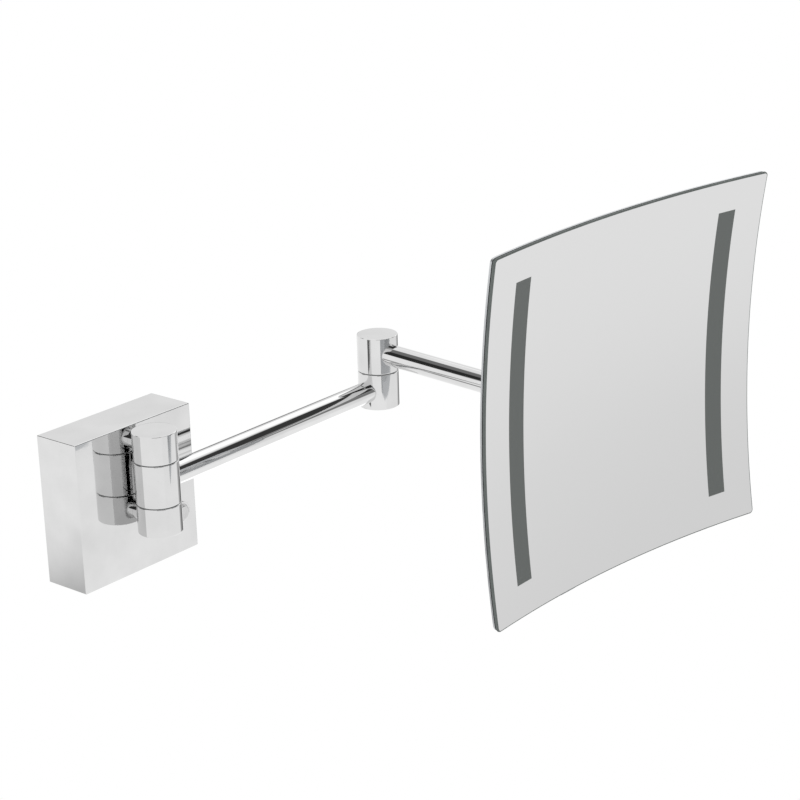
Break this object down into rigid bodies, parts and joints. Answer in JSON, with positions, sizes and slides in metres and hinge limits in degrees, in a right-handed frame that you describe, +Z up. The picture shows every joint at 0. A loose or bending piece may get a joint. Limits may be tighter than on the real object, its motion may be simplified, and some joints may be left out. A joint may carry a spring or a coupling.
{
  "type": "extendable shaving mirror",
  "caption": "Wall-mounted shaving mirror on two hinged tubular arms: square concave mirror with side light windows on a ball joint, wall box with push button.",
  "frame": {"origin": "middle of the wall box's back face, on the wall plane", "axes": "+Y points into the wall, the room is towards -Y, +X runs along the wall, +Z is up"},
  "size_m": [0.3041, 0.2581, 0.2082],
  "materials": {
    "chrome_plate": "polished chrome plate on brass",
    "button_chrome": "satin chrome",
    "screw_steel": "bright zinc-plated steel",
    "bracket_steel": "pressed stainless steel",
    "nut_brass": "turned brass",
    "seam_nylon": "grey nylon",
    "bearing_nylon": "natural nylon",
    "grommet_rubber": "moulded rubber",
    "lead_sheath": "PVC sheath",
    "driver_case": "moulded polycarbonate",
    "terminal_plastic": "moulded polyamide",
    "switch_plastic": "moulded plastic",
    "housing_aluminium": "satin anodised",
    "plate_aluminium": "rolled, satin",
    "frosted_acrylic": "sand-blasted, unlit",
    "led_board": "white solder mask",
    "silvering": "silvered",
    "mirror_glass": "polished"
  },
  "bodies": {
    "wall_unit": {"wall_bracket": "bracket_steel", "wall_box_cover": "chrome_plate", "cover_grub_screws": "screw_steel", "lead_grommet": "grommet_rubber", "led_driver": "driver_case", "driver_screws": "screw_steel", "terminal_block": "terminal_plastic", "switch_bezel": "chrome_plate", "switch_nut": "nut_brass", "switch_body": "switch_plastic", "hinge_post_top": "chrome_plate", "hinge_post_bottom": "chrome_plate", "neck_screws": "screw_steel", "hinge_pin": "screw_steel", "hinge_washers": "seam_nylon"},
    "power_button": {"switch_button": "button_chrome"},
    "arm1": {"arm1_barrel": "chrome_plate", "hinge_bush": "bearing_nylon", "arm1_tube": "chrome_plate", "arm1_lead": "lead_sheath", "elbow_lower": "chrome_plate", "elbow_pin": "screw_steel", "elbow_washer": "seam_nylon"},
    "arm2": {"elbow_upper": "chrome_plate", "elbow_bush": "bearing_nylon", "arm2_tube": "chrome_plate", "arm2_lead": "lead_sheath", "swivel_lower": "chrome_plate", "swivel_pin": "screw_steel", "swivel_washer": "seam_nylon"},
    "head_mount": {"swivel_upper": "chrome_plate", "swivel_bush": "bearing_nylon", "ball_stud": "chrome_plate", "tilt_pin": "screw_steel"},
    "tilt_cup": {"ball_liner": "bearing_nylon"},
    "head": {"ball_socket": "chrome_plate", "socket_screws": "screw_steel", "back_housing": "housing_aluminium", "housing_screws": "screw_steel", "backing_plate": "plate_aluminium", "diffuser_left": "frosted_acrylic", "diffuser_right": "frosted_acrylic", "led_strip_left": "led_board", "led_strip_right": "led_board", "mirror_coating": "silvering", "mirror_glass": "mirror_glass"}
  },
  "joints": [
    {"name": "power_button_press", "type": "slide", "parent": "wall_unit", "child": "power_button", "axis": [0, 1, 0], "range_m": [0, 0.0015], "stiffness_N_per_m": 400},
    {"name": "wall_hinge", "type": "hinge", "parent": "wall_unit", "child": "arm1", "pos_m": [0, -0.0442, 0.01315], "axis": [0, 0, 1], "range_deg": [-185, 4]},
    {"name": "elbow", "type": "hinge", "parent": "arm1", "child": "arm2", "pos_m": [0.18379, -0.04202, 0.03535], "axis": [0, 0, -1], "range_deg": [-150, 48]},
    {"name": "head_swivel", "type": "hinge", "parent": "arm2", "child": "head_mount", "pos_m": [0.16788, -0.18162, 0.05365], "axis": [0, 0, 1], "range_deg": [-85, 91]},
    {"name": "head_tilt", "type": "hinge", "parent": "head_mount", "child": "tilt_cup", "pos_m": [0.16415, -0.20431, 0.05365], "axis": [0.9867, -0.1623, 0], "range_deg": [-27, 22]},
    {"name": "head_roll", "type": "hinge", "parent": "tilt_cup", "child": "head", "pos_m": [0.16415, -0.20431, 0.05365], "axis": [-0.1621, -0.9855, -0.0509], "range_deg": [-45, 45]}
  ]
}
